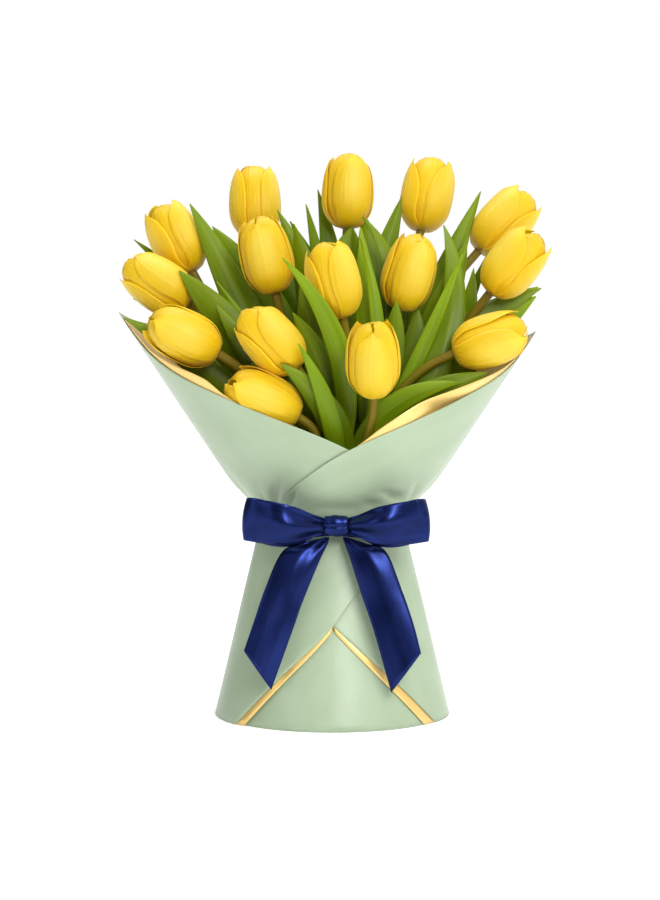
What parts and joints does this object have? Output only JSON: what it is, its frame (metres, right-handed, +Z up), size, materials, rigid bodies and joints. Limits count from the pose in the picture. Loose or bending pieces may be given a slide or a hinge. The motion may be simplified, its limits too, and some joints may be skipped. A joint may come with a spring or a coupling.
{
  "type": "bunch of tulips",
  "caption": "Hand-tied bunch of yellow tulips with green leaves in a mint and gold paper wrap, tied with a navy satin bow and standing on its paper skirt.",
  "frame": {"origin": "on the floor, under the middle of the paper skirt's round hem", "axes": "+Z up along the stems to the heads, -Y out of the front with the bow, +X to the viewer's right"},
  "size_m": [0.3567, 0.2203, 0.4711],
  "materials": {
    "petal": "satin",
    "stem": "satin",
    "leaf": "satin",
    "mint_paper": "satin",
    "gold_paper": "satin",
    "satin": "gloss",
    "twine": "matte"
  },
  "bodies": {
    "root": {"head_01": "petal", "head_02": "petal", "head_03": "petal", "head_04": "petal", "head_05": "petal", "head_06": "petal", "head_07": "petal", "head_08": "petal", "head_09": "petal", "head_10": "petal", "head_11": "petal", "head_12": "petal", "head_13": "petal", "head_14": "petal", "head_15": "petal", "stem_01": "stem", "stem_02": "stem", "stem_03": "stem", "stem_04": "stem", "stem_05": "stem", "stem_06": "stem", "stem_07": "stem", "stem_08": "stem", "stem_09": "stem", "stem_10": "stem", "stem_11": "stem", "stem_12": "stem", "stem_13": "stem", "stem_14": "stem", "stem_15": "stem", "leaf_01": "leaf", "leaf_02": "leaf", "leaf_03": "leaf", "leaf_04": "leaf", "leaf_05": "leaf", "leaf_06": "leaf", "leaf_07": "leaf", "leaf_08": "leaf", "leaf_09": "leaf", "leaf_10": "leaf", "leaf_11": "leaf", "leaf_12": "leaf", "leaf_13": "leaf", "leaf_14": "leaf", "leaf_15": "leaf", "leaf_16": "leaf", "leaf_17": "leaf", "leaf_18": "leaf", "upper_wrap": "mint_paper", "upper_lining": "gold_paper", "skirt_outer": "mint_paper", "skirt_lining": "gold_paper", "skirt_inner": "mint_paper", "twine_tie": "twine", "ribbon_band": "satin", "ribbon_knot": "satin", "bow_loop_left": "satin", "bow_loop_right": "satin", "bow_tail_left": "satin", "bow_tail_right": "satin"}
  },
  "joints": []
}
